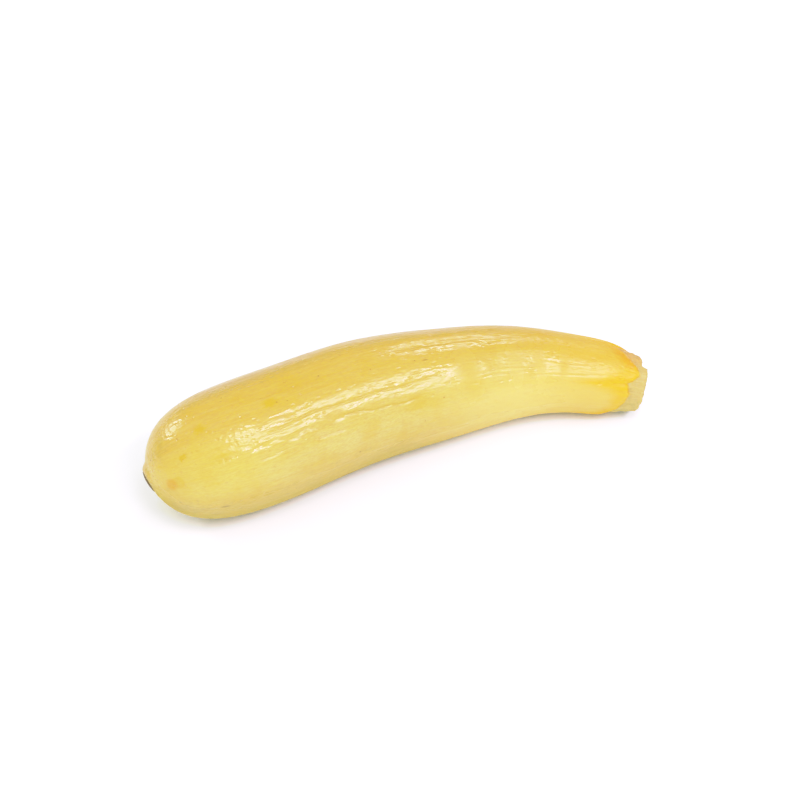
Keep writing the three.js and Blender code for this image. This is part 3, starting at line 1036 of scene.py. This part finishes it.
class SkinGraph(Graph):
    """The skin's nodes, with what its colours and its gloss share."""

    def __init__(self):
        super().__init__("zucchini_skin")
        self.grown = self.vector("grown")
        self.strand = self.vector("strand")
        self.station = self.number("station")
        self.turned = self.number("turned")
        self.ahead = self.number("ahead")
        self.cloud = self.noise(self.grown, *CLOUD)
        self.side = self.plus(self.turned, self.cloud, CLOUD_REACH)
        self.pale = self.step(self.side, *PALE_SIDE)
        self.ragged = self.noise(self.grown, *RAGGED)
        shake = self.math("MULTIPLY", self.math("SUBTRACT", self.ragged, 0.5), MARK_SHAKE)
        self.shaken = self.vector_math("ADD", self.grown, shake)
        edge = self.plus(self.ahead, self.ragged, STUB_SHAKE)
        self.on_stub = self.step(edge, *reversed(SKIN_EDGE))


def ground_colour(skin):
    """Golden on the upper side and paler below, with painted shade: darker low on the front side and
    at the nose's low side, and greyer and darker far up at the back.
    """
    base = skin.mix(skin.pale, GOLDEN, PALE)
    # Painted shade on the low front side.
    base = skin.paint(base, UNDERSIDE_SHADE, (skin.side, LOW_SIDE))
    # Painted shade and a painted grey reflection far up at the back.
    base = skin.paint(
        base, BACK_SHADE,
        (skin.turned, BACK_SIDE),
        (skin.station, BACK_STEM_END),
        (skin.station, BACK_NOSE_END),
    )
    # Painted shade on the nose's low side.
    low_nose_shade = skin.region((skin.station, NOSE_TIP), (skin.turned, NOSE_LOW_SIDE))
    return skin.tint(base, UNDERSIDE_SHADE, low_nose_shade, NOSE_LOW_STRENGTH)


def add_strands(skin, base, scale, detail, ramp, other):
    """Strands of another colour that run along the fruit."""
    strands = skin.noise(skin.strand, scale, detail, STRAND_ROUGHNESS)
    return skin.paint(base, other, (strands, ramp))


def add_variation(skin, base):
    """Fine strands and soft clouds of deeper and lighter yellow, and olive in the furrows and
    wrinkles that is partly painted shade.
    """
    base = add_strands(skin, base, *PALE_STREAKS)
    base = skin.paint(base, DEEP_YELLOW, (skin.cloud, DEEP_CLOUDS), (skin.pale, DEEP_BY_SIDE))
    # Olive in furrows and wrinkles: partly the skin's own streaks, partly painted shade in the
    # creases.
    base = skin.tint(base, OLIVE, skin.number("furrow"), FURROW_STRENGTH)
    base = add_strands(skin, base, *FINE_STRANDS)
    return add_strands(skin, base, *SPECKLES)


def add_stem_gold(skin, base):
    """Golden towards the stem, deepest along the grooves and at the lobes' edges."""
    base = skin.tint(base, STEM_PALE, skin.step(skin.station, *STEM_PALE_START), skin.pale)
    base = skin.paint(base, STEM_GOLD, (skin.station, STEM_GOLD_START), (skin.pale, GOLD_BY_SIDE))
    edge = skin.plus(skin.ahead, skin.noise(skin.grown, *RIM_NOISE), RIM_SHAKE)
    rim = skin.paint(EDGE_ORANGE, GROOVE_GOLD, (skin.turned, RIM_FRONT_SIDE))
    base = skin.paint(base, rim, (edge, RIM))
    base = skin.mix(marks_mask(skin, skin.grown, NOTCH_SPOTS, NOTCH_BLUR), base, GROOVE_GOLD)
    return skin.paint(base, GROOVE_GOLD, (skin.number("groove"), GROOVE))


def add_nose_light(skin, base):
    """Painted light: a lighter, clearer yellow on the nose's side towards -Y."""
    return skin.paint(
        base, NOSE_LIGHT_YELLOW,
        (skin.station, NOSE_FRONT),
        (skin.turned, NOSE_UPPER_SIDE),
        (skin.turned, NOSE_LOWER_SIDE),
    )


def add_marks(skin, base):
    """Yellow patches, the amber spot, brown marks and pores."""
    for other, points, marks, blur, strength in (
        (SPOT_YELLOW, skin.shaken, DEEP_SPOTS, 0.6, 0.85),
        (SPOT_YELLOW, skin.shaken, DEEP_PATCHES, 0.8, 0.4),
        (SPOT_YELLOW, skin.grown, AMBER_HALOS, 0.2, 0.4),
        (AMBER, skin.grown, AMBER_SPOTS, 0.4, 0.8),
        (BROWN, skin.grown, BROWN_MARKS, 0.5, 0.55),
    ):
        base = skin.tint(base, other, marks_mask(skin, points, marks, blur), strength)
    distance, lot = skin.cells(skin.grown, PORES_PER_MM)
    return skin.tint(base, BROWN, skin.region((distance, PORE), (lot, PORE_CHANCE)), PORE_STRENGTH)


def add_scar_surround(skin, base):
    """Round the blossom scar the skin is tanned, and brown at the disc's foot."""
    frayed = skin.plus(skin.number("scar"), skin.ragged, SCAR_SHAKE)
    base = skin.paint(base, TAN, (frayed, SCAR_TAN))
    return skin.paint(base, BROWN, (frayed, SCAR_BROWN))


def cut_face_colour(skin, tissue):
    """The cut face: a firm rind, a ring of darker bundles and a paler pith."""
    across = skin.vector_math("MULTIPLY", skin.grown, (0, 1, 1))
    from_core = skin.vector_math("LENGTH", across)
    distance, _ = skin.cells(skin.grown, BUNDLES_PER_MM)
    bundles = skin.region((from_core, RING_START), (from_core, RING_END), (distance, BUNDLE))
    cut = skin.paint(tissue, PITH_CREAM, (from_core, PITH))
    cut = skin.tint(cut, BUNDLE_GREEN, bundles, BUNDLE_STRENGTH)
    return skin.paint(cut, RIND_GREEN, (from_core, RIND))


def add_stub(skin, base):
    """The stub: cream, greener between its fibres and warmer on top."""
    fibres = skin.noise(skin.strand, *STUB_FIBRES)
    tissue = skin.paint(STUB_CREAM, STUB_GREEN, (fibres, STUB_GREENER))
    stub = skin.paint(tissue, STUB_PEACH, (skin.turned, STUB_UPPER_SIDE))
    stub = skin.mix(skin.number("face"), stub, cut_face_colour(skin, tissue))
    return skin.mix(skin.on_stub, base, stub)


def skin_normal(skin):
    """Small pits and pebbles, stretched along the fruit away from the nose, and fine ribs."""
    stretch = skin.node("ShaderNodeCombineXYZ")
    skin.set(stretch.inputs[0], skin.step(skin.station, *GLOSS_CHANGE, *PIT_STRETCH))
    stretch.inputs[1].default_value = 1.0
    stretch.inputs[2].default_value = 1.0
    stretched = skin.vector_math("MULTIPLY", skin.grown, stretch.outputs[0])
    distance, lot = skin.cells(stretched, PITS_PER_MM)
    pit_height = (skin.station, GLOSS_CHANGE + PIT_HEIGHT)
    pits = skin.region((distance, PIT), (lot, PIT_CHANCE), pit_height)
    pebble_height = skin.step(skin.station, *GLOSS_CHANGE, *PEBBLE_HEIGHT)
    pebbles = skin.math("MULTIPLY", skin.noise(stretched, *PEBBLES), pebble_height)
    height = skin.plus(pebbles, skin.noise(skin.strand, *GLOSS_RIBS), GLOSS_RIB_HEIGHT)
    return skin.bump(skin.math("SUBTRACT", height, pits), GLOSS_BUMP)


def skin_roughness(skin):
    """Waxy, cloudily uneven, and duller on the stem, in dull patches and at grazing angles."""
    roughness = skin.step(skin.noise(skin.grown, *ROUGH_CLOUDS), *ROUGHNESS)
    roughness = skin.math("ADD", roughness, skin.step(skin.station, *STEM_ROUGHER))
    dull = marks_mask(skin, skin.shaken, DULL_PATCHES, DULL_BLUR)
    roughness = skin.plus(roughness, dull, DULL_ROUGHER)
    roughness = skin.plus(roughness, skin.on_stub, STUB_ROUGHER)
    grazing = skin.node("ShaderNodeLayerWeight").outputs["Facing"]
    graze = skin.region((grazing, GRAZING), (skin.turned, GRAZING_ROUGHER))
    return skin.math("ADD", roughness, graze)


def skin_material():
    """Waxy yellow skin that passes into the pale, moist tissue of the stub."""
    skin = SkinGraph()
    base = ground_colour(skin)
    layers = (add_variation, add_stem_gold, add_nose_light, add_marks, add_scar_surround, add_stub)
    for add in layers:
        base = add(skin, base)
    return skin.finish(
        Base_Color=base,
        Roughness=skin_roughness(skin),
        Specular_IOR_Level=0.45,
        Normal=skin_normal(skin),
        Subsurface_Weight=0.35,
        Subsurface_Radius=(1.0, 0.62, 0.2),
        Subsurface_Scale=0.004,
    )


CORK_LIGHT = colour(142, 124, 78)
CORK_DARK = colour(112, 96, 56)
CORK_RIM = colour(84, 72, 42)
CORK_CRACK = colour(74, 60, 40)
CORK_NOISE = (2.2, 3, 0.6)
CORK_SHADES = (0.3, 0.7)
CORK_RIM_START = (0.75, 1.0, 0.0, 0.8)
CORK_CRACK_STRENGTH = 0.7
CORK_BUMP_NOISE = (3.0, 3, 0.6)
CORK_BUMP = 0.0001
CORK_ROUGHNESS = (0.3, 0.7, 0.7, 0.9)


def scar_material():
    """Dry grey-brown cork, darker in its cracks and at its rim."""
    graph = Graph("blossom_scar")
    grown = graph.vector("grown")
    grain = graph.noise(grown, *CORK_NOISE)
    base = graph.paint(CORK_LIGHT, CORK_DARK, (grain, CORK_SHADES))
    base = graph.paint(base, CORK_RIM, (graph.number("spread"), CORK_RIM_START))
    base = graph.tint(base, CORK_CRACK, graph.number("crack"), CORK_CRACK_STRENGTH)
    normal = graph.bump(graph.noise(grown, *CORK_BUMP_NOISE), CORK_BUMP)
    roughness = graph.step(grain, *CORK_ROUGHNESS)
    return graph.finish(Base_Color=base, Roughness=roughness, Normal=normal)


def floor_material():
    """Matt and pale."""
    return Graph("pale_table").finish(
        Base_Color=(0.93, 0.98, 0.98, 1),
        Roughness=0.9,
        Specular_IOR_Level=0.1,
    )


# ======== Table, light and camera ========

FLOOR_SIZE = 8.0
FLOOR_DROP = 0.00004

# Camera: angles in degrees and places in metres; its lens and sensor in millimetres.
CAMERA_AZIMUTH = -17.7
CAMERA_ELEVATION = 45.0
CAMERA_DISTANCE = 0.7188
CAMERA_TARGET = (0.0033, 0.0091, 0.015)
CAMERA_LENS = 85.0
SENSOR_WIDTH = 36.0
CAMERA_NEAR = 0.01

# Lights: azimuth and elevation in degrees, distance, width and height in metres, radiance, colour.
LIGHTS = {
    "main_softbox": (30, 53, 0.95, 0.80, 0.10, 25.0, (0.90, 0.70, 1.0)),
    "side_card": (-4, 65, 0.95, 0.20, 0.14, 26.0, (0.90, 0.76, 1.0)),
    "back_strip": (141, 37, 0.9, 0.24, 0.075, 19.0, (0.90, 0.70, 1.0)),
    "left_window": (-133, 24, 0.9, 0.19, 0.19, 18.0, (0.95, 0.82, 1.0)),
}
SKY_BRIGHT_SIDE = (-40, 56)  # azimuth and elevation
SKY_DARKEST = 0.05
SKY_BRIGHTEST = 1.21

# Film response: linear up to a knee, then a softer slope up to the white point.
FILM_KNEE = 0.8
FILM_WHITE = 1.3


def toward(azimuth, elevation):
    """Unit vector that points from the fruit at this azimuth (0 towards -Y) and elevation."""
    azimuth, elevation = math.radians(azimuth), math.radians(elevation)
    flat = math.cos(elevation)
    return Vector((math.sin(azimuth) * flat, -math.cos(azimuth) * flat, math.sin(elevation)))


def aim(thing, target, direction, distance):
    """Puts a camera or light at a distance in a direction from the target, facing it."""
    thing.location = Vector(target) + direction * distance
    thing.rotation_euler = direction.to_track_quat("Z", "Y").to_euler()


def add_floor():
    """The plain table, a hair below the fruit."""
    half = FLOOR_SIZE / 2
    corners = np.array([(-half, -half), (half, -half), (half, half), (-half, half)])
    points = np.concatenate([corners, np.full((4, 1), CAD_BOX[0][2] - FLOOR_DROP)], -1) / MM
    floor = make_mesh("table", points, [(0, 1, 2, 3)], floor_material())


def add_lights():
    """Soft area lights, given by how bright their faces are."""
    centre = (np.array(CAD_BOX[0]) + np.array(CAD_BOX[1])) / 2
    for name, (azimuth, elevation, distance, width, height, radiance, tint) in LIGHTS.items():
        light = bpy.data.lights.new(name, "AREA")
        light.shape = "RECTANGLE"
        light.size = width
        light.size_y = height
        light.energy = radiance * math.pi * width * height
        light.color = tint
        lamp = bpy.data.objects.new(name, light)
        aim(lamp, centre, toward(azimuth, elevation), distance)
        bpy.context.scene.collection.objects.link(lamp)


def add_surroundings():
    """An even studio, brightest in front, to the left and above, that dims towards the back."""
    world = bpy.data.worlds.new("studio")
    world.use_nodes = True
    nodes, links = world.node_tree.nodes, world.node_tree.links
    direction = nodes.new("ShaderNodeTexCoord").outputs["Generated"]
    facing = nodes.new("ShaderNodeVectorMath")
    facing.operation = "DOT_PRODUCT"
    facing.inputs[1].default_value = toward(*SKY_BRIGHT_SIDE)
    links.new(direction, facing.inputs[0])
    strength = nodes.new("ShaderNodeMapRange")
    strength.inputs["From Min"].default_value = -1
    strength.inputs["To Min"].default_value = SKY_DARKEST
    strength.inputs["To Max"].default_value = SKY_BRIGHTEST
    links.new(facing.outputs["Value"], strength.inputs["Value"])
    links.new(strength.outputs["Result"], nodes["Background"].inputs["Strength"])
    nodes["Background"].inputs["Color"].default_value = (1.0, 1.0, 1.0, 1)
    bpy.context.scene.world = world


def add_camera():
    """The camera, which looks along the fruit's side as the photo's does."""
    data = bpy.data.cameras.new("camera")
    data.lens = CAMERA_LENS
    data.sensor_width = SENSOR_WIDTH
    data.clip_start = CAMERA_NEAR
    camera = bpy.data.objects.new("camera", data)
    aim(camera, CAMERA_TARGET, toward(CAMERA_AZIMUTH, CAMERA_ELEVATION), CAMERA_DISTANCE)
    bpy.context.scene.collection.objects.link(camera)
    bpy.context.scene.camera = camera


def set_film():
    """Standard colours with softly rolled-off highlights."""
    view = bpy.context.scene.view_settings
    view.view_transform = "Standard"
    view.use_curve_mapping = True
    mapping = view.curve_mapping
    mapping.white_level = (FILM_WHITE, FILM_WHITE, FILM_WHITE)
    all_colours = mapping.curves[3]
    all_colours.points.new(FILM_KNEE / FILM_WHITE, FILM_KNEE)
    for point in all_colours.points:
        point.handle_type = "VECTOR"
    mapping.update()


def main():
    """Builds the scene, hangs its pieces on the root body and hides the solid they stand in for."""
    add_camera()
    add_floor()
    add_lights()
    add_surroundings()
    skin, shift = build_skin(skin_material())
    scar = build_scar(scar_material(), shift)
    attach(skin, "root")
    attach(scar, "root")
    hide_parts("zucchini")
    set_film()


main()
